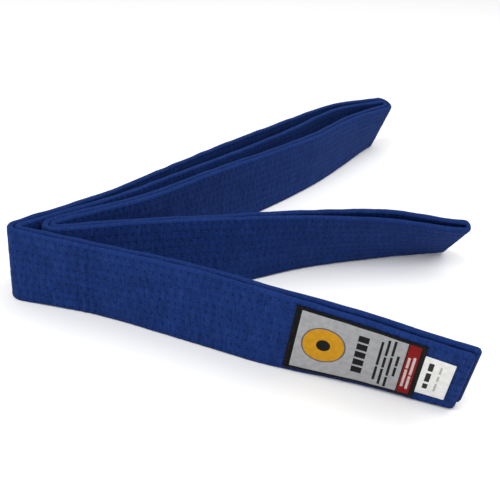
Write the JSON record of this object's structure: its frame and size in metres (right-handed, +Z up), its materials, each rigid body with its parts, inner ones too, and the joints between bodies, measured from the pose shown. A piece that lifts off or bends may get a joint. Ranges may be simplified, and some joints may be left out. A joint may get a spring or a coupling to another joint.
{
  "type": "martial arts belt",
  "caption": "Flat quilted cotton belt, doubled and folded in a zigzag, standing on edge, with a woven label and a size tag by one end.",
  "frame": {"origin": "middle of the folded belt's footprint, on the ground", "axes": "+Z up the belt's width, +Y along the longest side of the footprint, from the left fold towards the back tip"},
  "size_m": [0.2562, 0.3728, 0.046],
  "materials": {
    "cover_cotton": "woven cotton, matte",
    "core_cotton": "plain undyed cloth, matte",
    "blue_thread": "sewing thread",
    "black_thread": "sewing thread",
    "label_weave": "fine woven label, slightly shiny",
    "tag_tape": "smooth white tape"
  },
  "bodies": {
    "back_arm": {"back_outer_strand_cover": "cover_cotton", "back_outer_strand_core_ply_outer": "core_cotton", "back_outer_strand_core_ply_inner": "core_cotton", "back_inner_strand_cover": "cover_cotton", "back_inner_strand_core_ply_outer": "core_cotton", "back_inner_strand_core_ply_inner": "core_cotton"},
    "front_arm": {"front_label_strand_cover": "cover_cotton", "front_label_strand_core_ply_outer": "core_cotton", "front_label_strand_core_ply_inner": "core_cotton", "front_plain_strand_cover": "cover_cotton", "front_plain_strand_core_ply_outer": "core_cotton", "front_plain_strand_core_ply_inner": "core_cotton", "woven_label": "label_weave", "size_tag": "tag_tape", "label_thread": "black_thread", "label_end_thread": "blue_thread", "plain_end_thread": "blue_thread"},
    "middle_arm": {"middle_strand_cover": "cover_cotton", "middle_strand_core_ply_outer": "core_cotton", "middle_strand_core_ply_inner": "core_cotton"}
  },
  "joints": [
    {"name": "front_arm_fold", "type": "hinge", "parent": "back_arm", "child": "front_arm", "pos_m": [-0.12437, -0.10972, 0], "axis": [0, 0, 1], "range_deg": [-112, 2]},
    {"name": "middle_arm_fold", "type": "hinge", "parent": "back_arm", "child": "middle_arm", "pos_m": [-0.10761, -0.1047, 0], "axis": [0, 0, 1], "range_deg": [-10, 5]}
  ]
}
